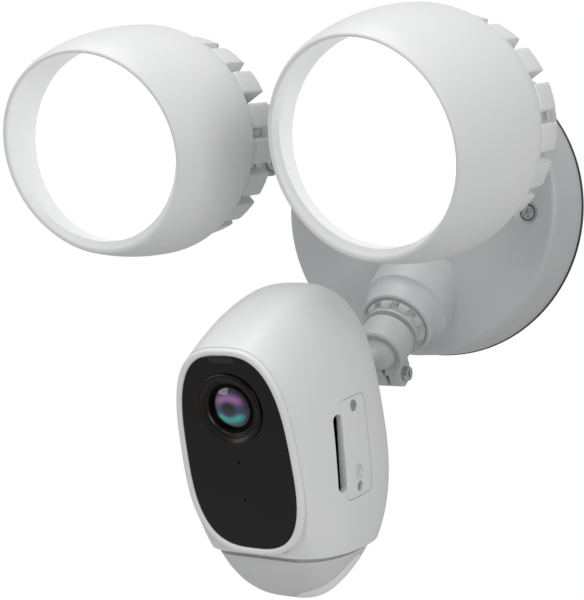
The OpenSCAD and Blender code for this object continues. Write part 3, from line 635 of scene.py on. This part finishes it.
lens_parts = {
    # Outer ring: a thin bright lip, then a dished slope down to the barrel
    "lens_ring": (bronze, [(lens_r, 0.22), (lens_r, 0.8), (15.8, 1.25), (15.4, 1.5),
                           (14.9, 1.5), (14.6, 1.3), (14.2, 0.9), (13.0, 0.35), (12.3, 0.2),
                           (11.9, -0.1), (11.7, -0.6), (11.2, -0.7), (11.2, -4),
                           (14.96, -4), (14.96, 0.22)]),
    # Barrel: a rounded front lip, two fine steps and the seat of the glass
    "lens_barrel": (lens_black, [(9.2, -1.0), (9.5, -0.55), (10.0, -0.45), (10.4, -0.62),
                                 (10.7, -0.62), (11.16, -0.8), (11.16, -14), (12.5, -14),
                                 (12.5, -18), (8.2, -18), (8.2, -16.2), (6, -16.2),
                                 (6, -6), (9.2, -3)]),
}
for name, (material, outline) in lens_parts.items():
    bm = spun(outline, 128)
    soften(bm, 0.12, 40)
    add_piece(name + "_turned", bm, material, "head", head_place @ turn(90, "X"), [name])
# The front element is a cap of an 18 mm sphere, coloured with painted reflections
element = [(0, 1.39)] + [(r, math.sqrt(18 ** 2 - r * r) - 16.6)
                         for r in (1, 2, 3, 4, 5, 6, 7, 8, 9.1)]
add_piece("lens_front_element", spun(element + [(9.1, -2.9), (0, -2.9)], 96), glass, "head",
          head_place @ turn(90, "X"), ["lens_glass"], 40)

# The card cover lies flush in its recess, so its face follows the shell
cover = carve(egg(0, 1.5, head_d), moved(slab(card_w, card_h, 3.1, -0.38, 8), card_place),
              operation="INTERSECT")
screw_hole = [(0, -3), (1.2, -3), (1.2, 0.6), (2.5, 0.6), (2.5, 6), (0, 6)]
button_hole = [(0, -3), (2.6, -3), (2.6, 1.2), (3.3, 1.9), (3.3, 6), (0, 6)]
cover = carve(cover, *[
    moved(spun(hole, 40), card_place @ Matrix.Translation((0, y, 0)))
    for y, hole in ((18, screw_hole), (-18, screw_hole), (-11.5, button_hole))])
soften(cover, 0.25, 50)
add_piece("card_cover_flush", cover, white_abs, "head", head_place, ["card_cover"], 40)
softened("card_cover_screws", 0.15, zinc)
softened("reset_button", 0.3, button_grey)
softened("head_collar", 0.5, arm_nylon, segments=3)
softened("head_stem", 0.4, arm_nylon)

# ---- finishes of the CAD nodes that stay ----------------------------------------------

kept = {
    spangle: ["base_plate", "card_reader"],
    foam: ["base_gasket", "lamp_seal_left", "lamp_seal_right"],
    grommet_rubber: ["cable_grommet"], green_board: ["driver_board", "camera_board", "main_board"],
    winding_tape: ["driver_transformer"], capacitor_sleeve: ["driver_capacitors"],
    terminal_green: ["terminal_block"], black_moulding: ["siren", "speaker"],
    reflector_white: ["reflector_left", "reflector_right"],
    board_white: ["led_board_left", "led_board_right"], phosphor: ["leds_left", "leds_right"],
    zinc: ["stem_nut", "button_spring"], nickel: ["pir_sensor"],
}
finish_of = {name: material for material, names in kept.items() for name in names}
for name, cad in frame["nodes"].items():
    cad.data.materials.clear()
    cad.data.materials.append(finish_of.get(name, white_abs))


# ---- stage, lights and camera ----------------------------------------------------------

def studio_floor():
    """A plain pale floor, well below the object."""
    low, high = (Vector(c) for c in cad_box)
    bm = bmesh.new()
    bmesh.ops.create_grid(bm, x_segments=4, y_segments=4, size=1.5)
    bmesh.ops.translate(bm, vec=(0, low.y / 2, low.z - 0.9), verts=bm.verts)
    mesh = bpy.data.meshes.new("studio_floor")
    bm.to_mesh(mesh)
    bm.free()
    m, tree, shader, place = finish("pale_studio_paper", "#dcdcdc", 0.9)
    fibre = node(tree, "ShaderNodeTexNoise", {"Scale": 1 / (40 * MM)}, Vector=place)
    tree.links.new(ramp(tree, fibre.outputs["Fac"], [(0.3, "#d9d9d9"), (0.7, "#dedede")]),
                   shader.inputs["Base Color"])
    mesh.materials.append(m)
    floor = bpy.data.objects.new("studio_floor", mesh)
    scene.collection.objects.link(floor)


def soft_light(name, size, watts, place, target):
    """A square area light that faces a target."""
    lamp = bpy.data.lights.new(name, "AREA")
    lamp.size, lamp.energy = size, watts
    o = bpy.data.objects.new(name, lamp)
    o.location = place
    o.rotation_euler = (Vector(target) - Vector(place)).to_track_quat("-Z", "Y").to_euler()
    scene.collection.objects.link(o)


studio_floor()
middle = sum((Vector(c) for c in cad_box), Vector()) / 2
soft_light("overhead", 1.2, 15, middle + Vector((-0.15, -0.35, 1.5)), middle)
soft_light("front_left", 1.0, 6, middle + Vector((-1.3, -1.2, 0.5)), middle)
soft_light("front_right", 0.9, 10, middle + Vector((1.4, -0.9, 0.4)), middle)

world = bpy.data.worlds.new("studio_air")
scene.world = world
world.use_nodes = True
# White behind the object, and a dimmer even light on it
air = world.node_tree
seen = node(air, "ShaderNodeLightPath").outputs["Is Camera Ray"]
strength = node(air, "ShaderNodeMapRange", {"To Min": 0.44, "To Max": 1.0}, Value=seen)
air.nodes["Background"].inputs["Color"].default_value = (1, 1, 1, 1)
air.links.new(strength.outputs["Result"], air.nodes["Background"].inputs["Strength"])

camera = bpy.data.cameras.new("camera")
camera.lens, camera.sensor_width = 84, 36
viewpoint = bpy.data.objects.new("camera", camera)
scene.collection.objects.link(viewpoint)
viewpoint.location = (0.3274, -0.6988, -0.0344)
viewpoint.rotation_euler = (math.radians(90 - 1.1), 0, math.radians(31.3))
scene.camera = viewpoint
scene.view_settings.view_transform = "Standard"
